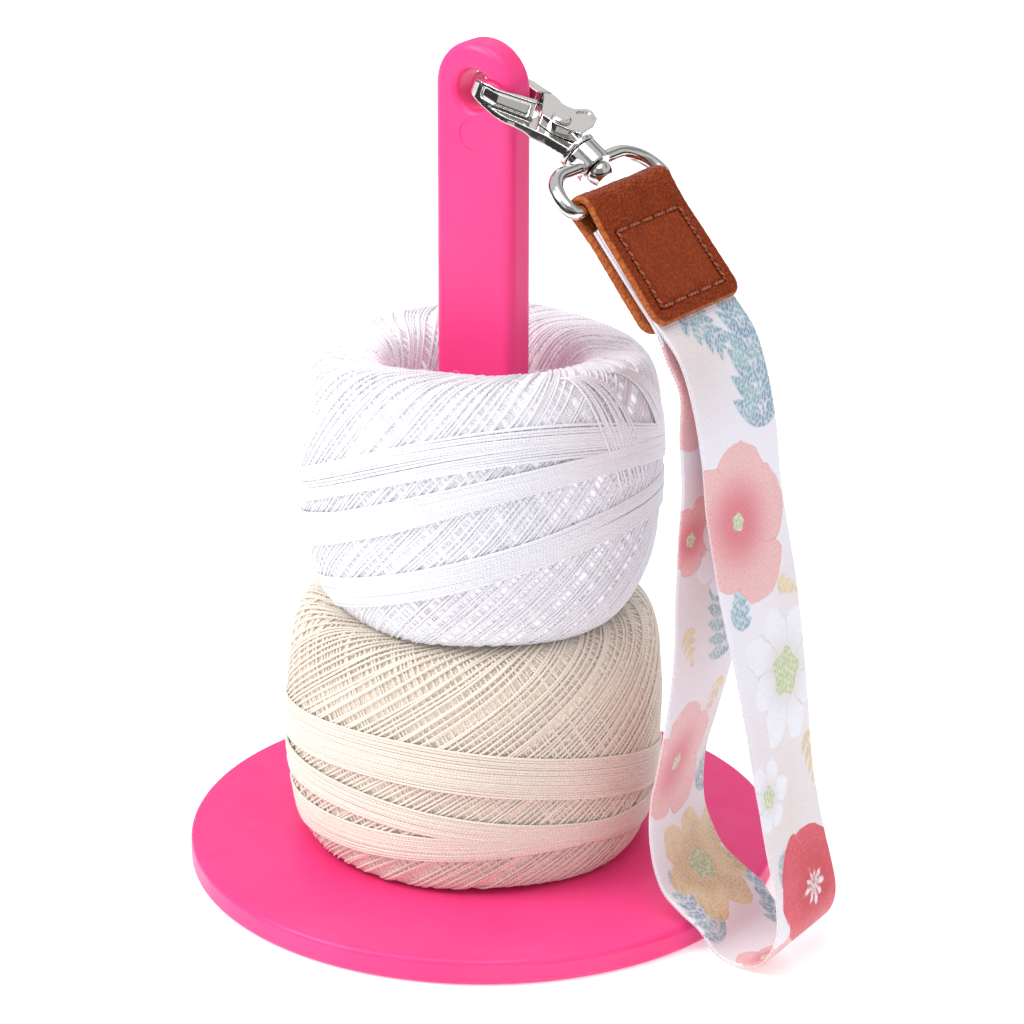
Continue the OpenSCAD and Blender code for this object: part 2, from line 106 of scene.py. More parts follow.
def add_card(name, corners, brightness):
    """A card that only shows in reflections, as the screens of a product studio do."""
    material = bpy.data.materials.new(name)
    material.use_nodes = True
    nodes = material.node_tree.nodes
    nodes.clear()
    glow = nodes.new("ShaderNodeEmission")
    glow.inputs["Color"].default_value = (brightness, brightness, brightness, 1)
    out = nodes.new("ShaderNodeOutputMaterial")
    material.node_tree.links.new(glow.outputs[0], out.inputs[0])
    mesh = bpy.data.meshes.new(name)
    mesh.from_pydata(corners, [], [(i, i + 1, i + 3, i + 2) for i in range(0, len(corners) - 2, 2)])
    mesh.materials.append(material)
    card = add_object(name, mesh)
    for ray in ("camera", "diffuse", "shadow", "transmission"):
        setattr(card, "visible_" + ray, False)


def add_screen(name, azimuths, elevations, brightness):
    """A curved card that fills a range of azimuths and elevations, in degrees."""
    corners = []
    for azimuth in np.linspace(*azimuths, 13):
        corners += [around(azimuth, elevation, SCREEN_DISTANCE) for elevation in elevations]
    add_card(name, corners, brightness)


def add_floor_card(name, near_y, far_y, brightness):
    """A card that lies just over the floor, from one Y to another."""
    corners = [(x, y, CARD_HEIGHT) for x in (-CARD_HALF, CARD_HALF) for y in (near_y, far_y)]
    add_card(name, corners, brightness)


def add_world():
    world = bpy.data.worlds.new("studio")
    bpy.context.scene.world = world
    world.use_nodes = True
    background = world.node_tree.nodes["Background"]
    background.inputs["Color"].default_value = (0.97, 0.975, 1.0, 1)
    background.inputs["Strength"].default_value = 0.66


def add_floor():
    mesh = bpy.data.meshes.new("floor")
    corners = [(x * FLOOR_HALF, y * FLOOR_HALF, 0) for x, y in ((-1, -1), (1, -1), (1, 1), (-1, 1))]
    mesh.from_pydata(corners, [], [(0, 1, 2, 3)])
    paper = Shader("floor_paper", (0.93, 0.93, 0.93), roughness=0.9)
    mesh.materials.append(paper.surface(Emission_Color=(1, 1, 1, 1), Emission_Strength=0.36))
    add_object("floor", mesh)


def add_studio():
    add_camera()
    add_world()
    add_softbox("key", -38, 42, size=0.7, watts=9.5)
    add_softbox("top", 20, 80, size=1.0, watts=6.5)
    add_floor()
    add_screen("horizon", (-180, 180), (-5, 13), 0.02)
    add_screen("camera_side", (5, 75), (13, 52), 0.28)
    add_screen("rear_top", (185, 235), (28, 46), 0.75)
    add_screen("rear_top_dim", (120, 184), (34, 52), 0.3)
    add_floor_card("front_floor", -CARD_HALF, -0.27, 0.05)
    add_floor_card("near_floor", -0.27, -0.17, 0.55)


# ---- Materials ----


class Shader:
    """A Principled material with short ways to add nodes."""

    def __init__(self, name, color, roughness=0.5, metallic=0.0):
        self.material = bpy.data.materials.new(name)
        self.material.use_nodes = True
        self.tree = self.material.node_tree
        self.shader = self.tree.nodes["Principled BSDF"]
        self.surface(Base_Color=(*color, 1), Roughness=roughness, Metallic=metallic)

    def surface(self, **inputs):
        """Gives the material itself some of its inputs, and returns it."""
        for key, value in inputs.items():
            self.feed(self.shader.inputs[key.replace("_", " ")], value)
        return self.material

    def feed(self, socket, value):
        """Gives a node's input a value or another node's output."""
        if isinstance(value, bpy.types.NodeSocket):
            self.tree.links.new(value, socket)
        else:
            socket.default_value = value

    def node(self, kind, **inputs):
        """A node with some of its named inputs given."""
        node = self.tree.nodes.new("ShaderNode" + kind)
        for key, value in inputs.items():
            self.feed(node.inputs[key.replace("_", " ")], value)
        return node

    def math(self, operation, *values):
        node = self.node("Math")
        node.operation = operation
        for socket, value in zip(node.inputs, values):
            self.feed(socket, value)
        return node.outputs[0]

    def plus(self, first, second):
        return self.math("ADD", first, second)

    def times(self, first, second):
        return self.math("MULTIPLY", first, second)

    def ripple(self, value, pitch):
        """A wave from -1 to 1 that repeats once per pitch."""
        return self.math("SINE", self.times(value, 2 * math.pi / pitch))

    def ramp(self, value, low, high, to_low=0.0, to_high=1.0):
        """Value from low..high mapped smoothly onto to_low..to_high, held at both ends."""
        limits = {"From_Min": low, "From_Max": high, "To_Min": to_low, "To_Max": to_high}
        node = self.node("MapRange", Value=value, **limits)
        node.interpolation_type = "SMOOTHSTEP"
        return node.outputs["Result"]

    def mix(self, factor, first, second):
        """Colour between first and second; each is a colour or an output."""
        node = self.node("Mix")
        node.data_type = "RGBA"
        for place, value in ((0, factor), (6, first), (7, second)):
            self.feed(node.inputs[place], (*value, 1) if isinstance(value, tuple) else value)
        return node.outputs[2]

    def coordinates(self):
        return self.node("TexCoord").outputs["Object"]

    def uv(self, name):
        source = self.node("UVMap")
        source.uv_map = name
        return source.outputs[0]

    def split(self, vector):
        return self.node("SeparateXYZ", Vector=vector).outputs

    def attribute(self, name):
        """The three numbers that a mesh holds at each vertex."""
        source = self.node("Attribute")
        source.attribute_name = name
        return self.split(source.outputs["Vector"])

    def noise(self, vector, scale, detail=2.0, roughness=0.5):
        node = self.node("TexNoise", Vector=vector, Scale=scale, Detail=detail, Roughness=roughness)
        return node.outputs["Fac"]

    def bump(self, height, strength, distance, **under):
        """A normal from a height of up to a distance in metres, over another Normal if one is given."""
        node = self.node("Bump", Height=height, Strength=strength, Distance=distance, **under)
        return node.outputs[0]


def pink_plastic():
    """Glossy injection-moulded plastic with a faint flow bloom and an even fine texture."""
    s = Shader("pink_plastic", (0.95, 0.055, 0.27), roughness=0.36)
    place = s.coordinates()
    bloom = s.ramp(s.noise(place, 28.0, 3.0), 0.35, 0.7)
    return s.surface(
        Base_Color=s.mix(bloom, (0.94, 0.044, 0.235), (0.95, 0.058, 0.262)),
        Roughness=s.ramp(s.noise(place, 160.0, 2.0), 0.3, 0.7, 0.32, 0.42),
        Normal=s.bump(s.noise(place, 900.0, 2.0), 0.06, 0.0002),
        Specular_IOR_Level=0.34, Subsurface_Weight=0.12,
        Subsurface_Radius=(1.0, 0.25, 0.4), Subsurface_Scale=0.0015,
    )


def plated_metal():
    """Bright nickel plating over a die casting, with a soft orange-peel and light handling marks."""
    s = Shader("plated_metal", (0.78, 0.765, 0.75), roughness=0.1, metallic=1.0)
    place = s.coordinates()
    return s.surface(
        Roughness=s.ramp(s.noise(place, 700.0, 4.0, 0.6), 0.35, 0.75, 0.05, 0.17),
        Normal=s.bump(s.noise(place, 260.0, 2.0), 0.05, 0.0003),
    )


def plain_steel():
    s = Shader("plain_steel", (0.55, 0.55, 0.56), roughness=0.3, metallic=1.0)
    return s.surface(Roughness=s.ramp(s.noise(s.coordinates(), 900.0, 3.0), 0.3, 0.7, 0.22, 0.42))


def brown_leather():
    """Pebbled leather with lighter, rougher raw edges and a stitched field that is pressed smooth.
    Painted shade darkens the creases between the pebbles and the needle holes.
    """
    s = Shader("brown_leather", (0.29, 0.058, 0.017), roughness=0.5)
    place = s.coordinates()
    edge, field, pits = s.attribute("leather")
    patches = s.ramp(s.noise(place, 240.0, 4.0, 0.6), 0.3, 0.7)
    tone = s.mix(patches, (0.255, 0.028, 0.002), (0.32, 0.041, 0.003))
    cells = s.node("TexVoronoi", Vector=place, Scale=1200.0)
    domes = s.ramp(cells.outputs["Distance"], 0.15, 0.75, 1.0, 0.0)
    # painted shade: the creases between the pebble domes are darkened
    tone = s.mix(s.times(s.math("SUBTRACT", 1.0, domes), 0.5), tone, (0.13, 0.018, 0.004))
    fibres = s.ramp(s.noise(place, 1300.0, 3.0), 0.3, 0.7)
    raw = s.mix(fibres, (0.33, 0.078, 0.022), (0.48, 0.135, 0.042))
    tone = s.mix(s.ramp(edge, 0.25, 0.8), tone, raw)
    grain = s.times(domes, s.math("SUBTRACT", 1.0, s.times(field, 0.7)))
    soft = s.bump(s.noise(place, 700.0, 3.0), 0.2, 0.0004)
    rough = s.ramp(s.noise(place, 500.0), 0.3, 0.7, 0.24, 0.34)
    return s.surface(
        # painted shade: the needle holes (pits) are darkened nearly to black
        Base_Color=s.mix(s.ramp(pits, 0.25, 0.8), tone, (0.035, 0.008, 0.004)),
        Roughness=s.plus(s.times(edge, 0.25), rough),
        Normal=s.bump(grain, 0.9, 0.0003, Normal=soft),
        Specular_IOR_Level=0.5, Specular_Tint=(1.0, 0.36, 0.16, 1),
    )


def plies(s, slant):
    """The ripple of a thread's plies, which slant across its run."""
    along, round_it, _ = s.split(s.uv("Thread"))
    return s.ripple(s.plus(s.times(along, slant), round_it), 1.0)


def thread_material(name, light, dark):
    """Mercerised cotton: plies seen as a slanting ripple, under fine hairs. The ripple paints shade
    into the grooves between the plies and light onto their crests.
    """
    s = Shader(name, light)
    ply = s.ramp(plies(s, 1.4), -1.0, 1.0)
    hairs = s.noise(s.coordinates(), 2600.0, 3.0, 0.7)
    # painted light and shade: the ply ripple goes from the dark (shaded) tone in its grooves to the
    # light (lit) tone on its crests
    tone = s.mix(s.ramp(ply, 0.0, 0.55), dark, light)
    return s.surface(
        Base_Color=s.mix(s.ramp(hairs, 0.35, 0.75, 0.0, 0.25), tone, dark),
        Normal=s.bump(hairs, 0.35, 0.0001, Normal=s.bump(ply, 0.5, 0.00012)),
        Sheen_Weight=0.35, Sheen_Roughness=0.4, Specular_IOR_Level=0.55,
    )


def sewing_thread():
    """Waxed brown thread whose plies slant across each stitch, with a painted highlight on their crests
    and painted shade in their grooves.
    """
    s = Shader("sewing_thread", (0.20, 0.045, 0.018), roughness=0.42)
    ply = s.ramp(plies(s, 1.1), -1.0, 0.4)
    return s.surface(
        # painted light and shade: the ply grooves take the dark tone, the crests the lighter highlight
        # tone
        Base_Color=s.mix(ply, (0.17, 0.034, 0.013), (0.38, 0.095, 0.036)),
        Normal=s.bump(ply, 0.6, 0.00014),
        Coat_Weight=0.15, Coat_Roughness=0.3,
    )


def core_material(name, light, dark, glow):
    """The deeper layers of a ball, seen only between the outer threads. A painted glow lightens the
    shade there, and painted shade darkens the grooves of the wave.
    """
    s = Shader(name, light, roughness=0.7)
    wave = s.node("TexWave", Vector=s.coordinates(), Scale=520.0, Distortion=2.5, Detail=1.0)
    wave = wave.outputs["Fac"]
    return s.surface(
        # painted shade: the wave's grooves take the dark tone and its ridges the light one
        Base_Color=s.mix(s.ramp(wave, 0.2, 0.8), dark, light),
        Normal=s.bump(wave, 0.6, 0.0005),
        # painted light: the core glows, though it is no lamp, to lighten the shade between the outer
        # threads
        Emission_Color=(*light, 1), Emission_Strength=glow,
    )


# ---- Meshes ----

TIP_SHARE = 0.25            # how thick a thread's ends are, as a share of its radius
FLIPPED = [0, 3, 2, 1]      # the order of corners that turns a face to look the other way


def add_piece(name, verts, faces, material, body, uvs=None):
    """A mesh from arrays in metres, riding on a body. uvs maps a map's name to one pair per corner."""
    mesh = bpy.data.meshes.new(name)
    faces = np.asarray(faces, dtype=np.int32)
    count, sides = faces.shape
    mesh.vertices.add(len(verts))
    mesh.vertices.foreach_set("co", np.asarray(verts, dtype=np.float32).ravel())
    mesh.loops.add(count * sides)
    mesh.loops.foreach_set("vertex_index", faces.ravel())
    mesh.polygons.add(count)
    mesh.polygons.foreach_set("loop_start", np.arange(0, count * sides, sides, dtype=np.int32))
    mesh.polygons.foreach_set("use_smooth", np.full(count, True))
    mesh.materials.append(material)
    for key, pairs in (uvs or {}).items():
        layer = mesh.uv_layers.new(name=key)
        layer.data.foreach_set("uv", np.asarray(pairs, dtype=np.float32).ravel())
    mesh.update(calc_edges=True)
    mesh.validate()
    obj = add_object(name, mesh)
    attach(obj, body)
    return obj


def unit(vectors):
    return vectors / np.maximum(np.linalg.norm(vectors, axis=-1, keepdims=True), 1e-12)


def side_of(line):
    """The directions square to a line of points in a plane, on its right."""
    tangent = unit(np.gradient(line, axis=0))
    return np.stack([tangent[:, 1], -tangent[:, 0]], axis=1)


def run_along(points):
    """The length along a line of points, at each of them."""
    return np.concatenate([[0], np.cumsum(np.linalg.norm(np.diff(points, axis=0), axis=1))])


def grid_faces(index):
    """The faces between the vertices of a grid, which index numbers."""
    a, b, c, d = index[:-1, :-1], index[1:, :-1], index[1:, 1:], index[:-1, 1:]
    return np.stack([a, b, c, d], axis=-1).reshape(-1, 4)


def strip_map(along, across, faces):
    """The OFBake map of a strip's two sides, from places along it (0 to 1) and across (-0.5 to 0.5)."""
    front = np.stack([along, 0.02 + 0.46 * (across + 0.5)], axis=-1).reshape(-1, 2)
    return np.concatenate([front, front + (0, 0.5)])[faces].reshape(-1, 2)


def store(obj, name, front, back):
    """Three numbers for each vertex of a strip's two sides, for its material."""
    layer = obj.data.attributes.new(name, "FLOAT_VECTOR", "POINT")
    layer.data.foreach_set("vector", np.stack([front, back]).astype(np.float32).ravel())


def merge_doubles(obj, distance):
    """Joins vertices that are less than a distance in metres apart."""
    mesh = bmesh.new()
    mesh.from_mesh(obj.data)
    bmesh.ops.remove_doubles(mesh, verts=mesh.verts, dist=distance)
    mesh.to_mesh(obj.data)
    mesh.free()


def strands(name, lines, normals, radius, material, body, sides=5, closed=False):
    """Round threads along lines, an array of (threads, points, 3) in millimetres."""
    lines = np.asarray(lines, dtype=float)
    threads, points = lines.shape[:2]
    if closed:
        tangent = unit(np.roll(lines, -1, axis=1) - np.roll(lines, 1, axis=1))
    else:
        tangent = unit(np.gradient(lines, axis=1))
    across = unit(np.cross(tangent, normals))
    out = unit(np.cross(across, tangent))
    turn = 2 * np.pi * np.arange(sides)[None, None, :, None] / sides
    size = np.full((threads, points, 1, 1), float(radius))
    if not closed:
        size[:, [0, -1]] = radius * TIP_SHARE
    ring = np.cos(turn) * out[:, :, None] + np.sin(turn) * across[:, :, None]
    verts = (lines[:, :, None] + size * ring).reshape(-1, 3) * MM
    spans = points if closed else points - 1
    t, p, k = np.meshgrid(np.arange(threads), np.arange(spans), np.arange(sides), indexing="ij")
    base = t * points * sides
    here, there = base + p * sides, base + ((p + 1) % points) * sides
    after = (k + 1) % sides
    faces = np.stack([here + k, here + after, there + after, there + k], axis=-1).reshape(-1, 4)
    end = lines[:, :1] if closed else lines[:, -1:]
    step = np.linalg.norm(np.diff(lines, axis=1, append=end), axis=-1)
    run = np.pad(np.cumsum(step, axis=1), ((0, 0), (1, 0)))

    def corners(u0, u1, v0, v1):
        return np.stack([u0, v0, u0, v1, u1, v1, u1, v0], axis=-1).reshape(-1, 2)

    v0, v1 = k / sides, (k + 1) / sides
    row0, row1 = ((t + 0.1 + 0.8 * v) / threads for v in (v0, v1))
    uvs = {
        "Thread": corners(run[t, p], run[t, p + 1], v0, v1),
        "OFBake": corners(p / spans, (p + 1) / spans, row0, row1),
    }
    return add_piece(name, verts, faces, material, body, uvs)


# ---- Balls of thread ----

BALL_BORE = 34.0
FRONT = math.radians(VIEW_AZIMUTH) - math.pi / 2    # the side of the balls that faces the camera
THREAD_R, FIBRE_R = 0.28, 0.04
BAND_PITCH, LATTICE_STEP = 0.54, 1.6
LATTICE_REACH = 0.42    # how far a thread climbs each way, as a share of the section
SECTION_POINTS, BAND_POINTS, SWEEP_POINTS, FIBRE_POINTS = 721, 200, 90, 7
CORE_ROUND, CORE_SECTION = 144, 96


class Ball:
    """The barrel-shaped ring that a ball of thread fills. More roundness makes its section squarer;
    the lower half has its own. Taper narrows its foot, shift moves it from the CAD ring's middle
    towards -X, and lean raises its top where it faces the camera."""

    def __init__(self, name, rng, colour, roundness, low_roundness, taper, shift, lean=0.0):
        self.name, self.colour, self.uniform = name, colour, rng.uniform
        self.node, self.body = "yarn_ball_" + name, "ball_" + name
        low, high = (np.array(corner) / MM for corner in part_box(self.node))
        self.roundness, self.low_roundness = roundness, low_roundness
        self.taper, self.lean = taper, lean
        outer, _, self.half_height = (high - low) / 2
        self.middle_x, _, self.middle_z = (high + low) / 2 - (shift, 0, 0)
        self.half_width = (outer - BALL_BORE / 2) / 2
        self.centre_r = outer - self.half_width
        self.turns = np.linspace(-np.pi, np.pi, SECTION_POINTS)
        r, z = self.section(self.turns)
        self.lengths = np.concatenate([[0], np.cumsum(np.hypot(np.diff(r), np.diff(z)))])

    def power(self, up):
        return np.where(up > 0, self.roundness, self.low_roundness)

    def section(self, turn):
        """The surface's radius and height at an angle round the section."""
        cos, sin = np.cos(turn), np.sin(turn)
        power = self.power(sin)
        size = (np.abs(cos) ** power + np.abs(sin) ** power) ** (1 / power)
        across, up = cos / size, sin / size
        narrowed = 1 - self.taper * np.where(across > 0, np.minimum(up, 0), 0) ** 2
        return self.centre_r + self.half_width * across * narrowed, self.half_height * up

    def turn_at(self, length):
        """The section's angle at a length along it, 0 at the outer waist and growing upwards."""
        waist = np.interp(0, self.turns, self.lengths)
        return np.interp(length + waist, self.lengths, self.turns)

    def turn_at_height(self, height):
        """The section's angle on the outer side at a height from the ball's middle."""
        share = np.clip(height / self.half_height, -0.999, 0.999)
        power = self.power(share)
        return np.arctan2(share, (1 - np.abs(share) ** power) ** (1 / power))

    def place(self, azimuth, turn, lift):
        """Points and outward normals at an azimuth and a section angle, lift above the surface."""
        r, z = self.section(turn)
        power = self.power(z) - 1
        dr, dz = (r - self.centre_r) / self.half_width, z / self.half_height
        nr = np.sign(dr) * np.abs(dr) ** power / self.half_width
        nz = np.sign(dz) * np.abs(dz) ** power / self.half_height
        size = np.hypot(nr, nz)
        nr, nz = nr / size, nz / size
        # no ball is wound quite evenly
        uneven = (0.15 * np.sin(2 * azimuth + 0.6) + 0.35 * np.sin(3 * azimuth + 1.3)) * np.cos(turn)
        lift = lift + (uneven + 0.25 * np.sin(5 * azimuth - 2 * turn))
        r, z = r + lift * nr, z + lift * nz
        cos, sin = np.cos(azimuth), np.sin(azimuth)
        facing = np.maximum(0, np.cos(azimuth - FRONT))
        raised = self.lean * np.clip(z / self.half_height, 0, 1) * r * facing
        points = np.stack([self.middle_x + r * cos, r * sin, z + raised + self.middle_z], axis=-1)
        normals = np.stack([nr * cos, nr * sin, nz + 0 * azimuth], axis=-1)
        return points, normals

    def threads(self, name, azimuth, turn, lift, radius=THREAD_R, **shape):
        """Threads on the surface: one to a row, with lift at each of their points."""
        azimuth, turn, lift = np.broadcast_arrays(azimuth, turn, lift)
        lines, normals = self.place(azimuth, turn, lift)
        return strands(f"{self.name}_{name}", lines, normals, radius, self.colour, self.body, **shape)


def lattice(ball, name, pitch, slope, lift, group=0):
    """Threads that climb the ball's outer side at a slope in degrees and run over both rims, a
    little closer together within a group."""
    outer_r = ball.centre_r + ball.half_width
    rise = math.radians(abs(slope))
    threads = int(2 * math.pi * outer_r * math.sin(rise) / pitch)
    reach = LATTICE_REACH * ball.lengths[-1]
    length = np.linspace(-reach, reach, int(2 * reach / math.sin(rise) / LATTICE_STEP))
    start = 2 * np.pi * (np.arange(threads) + ball.uniform(-0.22, 0.22, threads)) / threads
    if group:
        bunch = np.arange(threads) % group - (group - 1) / 2
        start -= bunch * 0.16 * 2 * np.pi / threads
    lean = math.copysign(1 / math.tan(rise), slope) * (1 + ball.uniform(-0.05, 0.05, threads))
    sway = ball.uniform(-0.02, 0.02, threads)[:, None] * np.sin(length / 9)[None]
    azimuth = start[:, None] + lean[:, None] * length[None] / outer_r + sway
    depth = lift + ball.uniform(-0.12, 0.12, threads)[:, None] + 0.12 * np.sin(length / 3.1)[None]
    return ball.threads(name, azimuth, ball.turn_at(length), depth)


def band(ball, name, threads, middle, swing, peak, narrow=0.0, narrow_at=0.0, lift=0.3):
    """Parallel threads once round the ball in a tilted plane: highest at the azimuth peak, drawn
    together and piled up at the azimuth narrow_at, in degrees."""
    azimuth = np.linspace(0, 2 * np.pi, BAND_POINTS, endpoint=False)
    centre = middle + swing * np.cos(azimuth - math.radians(peak))
    drawn = narrow * (0.5 + 0.5 * np.cos(azimuth - math.radians(narrow_at)))
    rows = (np.arange(threads) - (threads - 1) / 2)[:, None]
    height = centre + rows * (BAND_PITCH * (1 - drawn)) + ball.uniform(-0.06, 0.06, (threads, 1))
    phase = np.cumsum(ball.uniform(-0.5, 0.5, (threads, 1)), axis=0)
    height = height + 0.35 * np.sin(2 * azimuth + phase + middle)
    depth = lift + 0.25 * drawn + ball.uniform(-0.08, 0.08, (threads, 1))
    turn = ball.turn_at_height(height)
    return ball.threads(name, azimuth, turn, depth, THREAD_R * 1.1, closed=True)


def core(ball, material, lift):
    """The closed body of the deeper windings."""
    turn = np.linspace(-np.pi, np.pi, CORE_SECTION, endpoint=False)
    azimuth = np.linspace(0, 2 * np.pi, CORE_ROUND, endpoint=False)
    grid_a, grid_t = np.meshgrid(azimuth, turn, indexing="ij")
    points, _ = ball.place(grid_a, grid_t, lift)
    index = np.pad(np.arange(grid_a.size).reshape(grid_a.shape), (0, 1), mode="wrap")
    verts = points.reshape(-1, 3) * MM
    return add_piece(ball.name + "_core", verts, grid_faces(index), material, ball.body)


def sweep(ball, name, threads, start, end, spread, lift=0.5):
    """Loose parallel threads from start to end, both an azimuth in degrees and a height."""
    share = np.linspace(0, 1, SWEEP_POINTS)[None]
    rows = (np.arange(threads) - (threads - 1) / 2)[:, None] * spread
    loose = ball.uniform(-2.2, 2.2, (threads, 1)) * np.sin(np.pi * share)
    degrees = start[0] + (end[0] - start[0]) * share + rows * (0.6 + 0.8 * share) + loose
    high, low = (ball.turn_at_height(height) for _, height in (start, end))
    turn = high + (low - high) * share**1.2
    depth = lift + ball.uniform(-0.1, 0.1, (threads, 1)) - 0.9 * np.abs(2 * share - 1) ** 6
    return ball.threads(name, np.radians(degrees), turn, depth)


def fuzz(ball, count, low, high):
    """Short loose fibres from low to high along the section, in shares of its length: away from
    where the balls touch."""
    length = ball.uniform(low, high, count)[:, None] * ball.lengths[-1]
    azimuth = ball.uniform(0, 2 * np.pi, count)[:, None]
    share = np.linspace(0, 1, FIBRE_POINTS)[None]
    reach = ball.uniform(1.2, 3.6, (count, 1))
    way = ball.uniform(0, 2 * np.pi, (count, 1)) + ball.uniform(-1.5, 1.5, (count, 1)) * share
    azimuth = azimuth + reach * share * np.cos(way) / ball.centre_r
    turn = ball.turn_at(length + reach * share * np.sin(way))
    depth = 0.1 + ball.uniform(0.1, 0.6, (count, 1)) * np.sin(np.pi * share * 0.8)
    return ball.threads("fuzz", azimuth, turn, depth, FIBRE_R, sides=3)


def add_balls():
    # each thread's two tones are lit and shaded ones: painted light on the ply crests, painted shade in
    # their grooves
    white = thread_material("white_thread", (0.93, 0.925, 0.965), (0.84, 0.835, 0.88))
    cream = thread_material("cream_thread", (0.93, 0.855, 0.77), (0.82, 0.72, 0.61))
    rng = np.random.default_rng(SEED)
    upper = Ball("white", rng, white, 3.6, 3.1, 0.36, 0.5, lean=0.14)
    lower = Ball("cream", rng, cream, 3.6, 9.0, 0.3, 0.9)
    # the last number of each core is the strength of its painted glow
    white_core = core_material("white_core", (0.93, 0.925, 0.96), (0.88, 0.875, 0.92), 0.34)
    cream_core = core_material("cream_core", (0.88, 0.77, 0.65), (0.80, 0.68, 0.55), 0.1)
    pieces = [
        core(upper, white_core, -0.5),
        lattice(upper, "lattice_right", 0.86, 47, -0.12, group=5),
        lattice(upper, "lattice_left", 0.86, -49, -0.42, group=5),
        band(upper, "band_high", 13, 3.3, 12.7, -30, narrow=0.2, narrow_at=40),
        band(upper, "band_middle", 15, -2.1, 13.3, -10, narrow=0.5, lift=0.35),
        band(upper, "band_low", 15, -12.2, 12.5, 10, narrow=0.25, narrow_at=-60),
        sweep(upper, "sweep_near", 13, (-20, 26.0), (4, 4.0), 0.9),
        sweep(upper, "sweep_far", 10, (2, 25.8), (30, 8.0), 0.95, lift=0.45),
        fuzz(upper, 320, -0.17, 0.42),
    ]
    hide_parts(upper.node)
    pieces = [
        core(lower, cream_core, -0.6),
        lattice(lower, "lattice_right", 1.05, 36, -0.15),
        lattice(lower, "lattice_left", 1.05, -60, -0.5),
        band(lower, "band_high", 17, -4.3, 8.6, -90),
        band(lower, "band_middle", 12, -13.2, 5.9, -110, narrow=0.3, narrow_at=20),
        band(lower, "band_low", 15, -16.5, 2.0, -30, narrow=0.5, lift=0.25),
        fuzz(lower, 300, -0.38, 0.15),
    ]
    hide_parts(lower.node)


# ---- Wrist loop ----

TAB_SLOPE = math.radians(41)
TAB_DOWN = np.array([math.sin(TAB_SLOPE), -math.cos(TAB_SLOPE)])
TAB_OUT = np.array([math.cos(TAB_SLOPE), math.sin(TAB_SLOPE)])
TAB_LENGTH, TAB_WIDTH, TAB_CORNER = 26.8, 26.8, 3.2
WEB_WIDTH, WEB_T, WEB_HALF_GAP, WEB_STEP = 25.0, 0.8, 0.5, 0.5
WEB_TURN = 2.3                  # how far the near edge is turned out at most
PICOT_MARGIN, PICOT_STEP, PICOT_PITCH = 22.5, 0.11, 0.72
PICOT_OUT, PICOT_REACH, PICOT_R = 0.06, 0.12, 0.1

# The webbing's print: degrees, and millimetres along the webbing and across it from its middle.
NO_PRINT = 6.0                  # a distance that is well outside any motif
# along, across, size, amount
CLOUDS = (
    (30, -8, 14, 0.8), (84, 10, 12, 0.5), (122, -3, 24, 0.9), (100, 12, 12, 0.6), (176, -2, 20, 0.5),
    (204, 6, 18, 0.7), (240, -6, 20, 0.8), (268, 4, 16, 0.6), (300, 0, 20, 0.7),
)
# kind, along, across, turn, length, pairs of leaflets, their length and width, bend
FRONDS = (
    ("teal", 48, 9, 186, 26, 6, 12, 4.2, -20), ("teal", 20, -4, 20, 12, 4, 7, 2.4, 20),
    ("ochre", 79, 6, 60, 6, 3, 3.2, 1.3, 0), ("teal", 84, -9, 150, 9, 4, 5, 2.0, 30),
    ("ochre", 112, 10, 20, 12, 4, 4.6, 1.7, -20), ("teal", 131, -9, 40, 12, 4, 6, 2.3, -30),
    ("teal", 158, 10, 20, 22, 6, 8, 2.8, -26), ("teal", 166, -8, -10, 14, 5, 6, 2.2, 16),
    ("teal", 194, 10, 30, 12, 4, 6, 2.3, -20), ("ochre", 222, 9, 200, 8, 3, 4, 1.6, 0),
    ("teal", 228, 9, -30, 22, 6, 9, 2.9, 24), ("ochre", 239, -9, 160, 7, 3, 4, 1.5, 0),
    ("teal", 270, 10, 10, 18, 5, 8, 2.6, -30), ("teal", 318, -9, 30, 12, 4, 6, 2.2, 0),
)
# kind, along, across, size, petals, turn, petal width, heart; later ones lie over earlier ones
BLOSSOMS = (
    ("pink", 64, -3.5, 17.5, 5, 24, 1.16, 0.1), ("white", 97, 4.5, 15.5, 8, 10, 1.05, 0.3),
    ("white", 118, -8.5, 8.5, 6, 30, 1, 0.26), ("red", 141, 3.5, 14, 4, 62, 1.25, 0),
    ("white", 141, 3.5, 4.2, 9, 0, 0.42, 0), ("pink", 154, -9, 8, 5, 0, 1, 0.2),
    ("ochre", 181, 2.5, 14.5, 7, 12, 0.98, 0.24), ("pink", 207, -4, 15, 5, 70, 1.12, 0.12),
    ("white", 252, 5, 12, 7, 0, 1.05, 0.3), ("pink", 258, -9, 9.5, 5, 30, 1, 0.16),
    ("pink", 289, -3, 15, 5, 10, 1.14, 0.12), ("white", 311, 4, 12, 8, 20, 1.05, 0.3),
)


def tab_point(down, out):
    """X and Z of places counted from the ring's bar down the flaps and out of their middle plane."""
    bar = JOINTS["strap_fold"][[0, 2]]
    return bar + np.multiply.outer(down, TAB_DOWN) + np.multiply.outer(out, TAB_OUT)


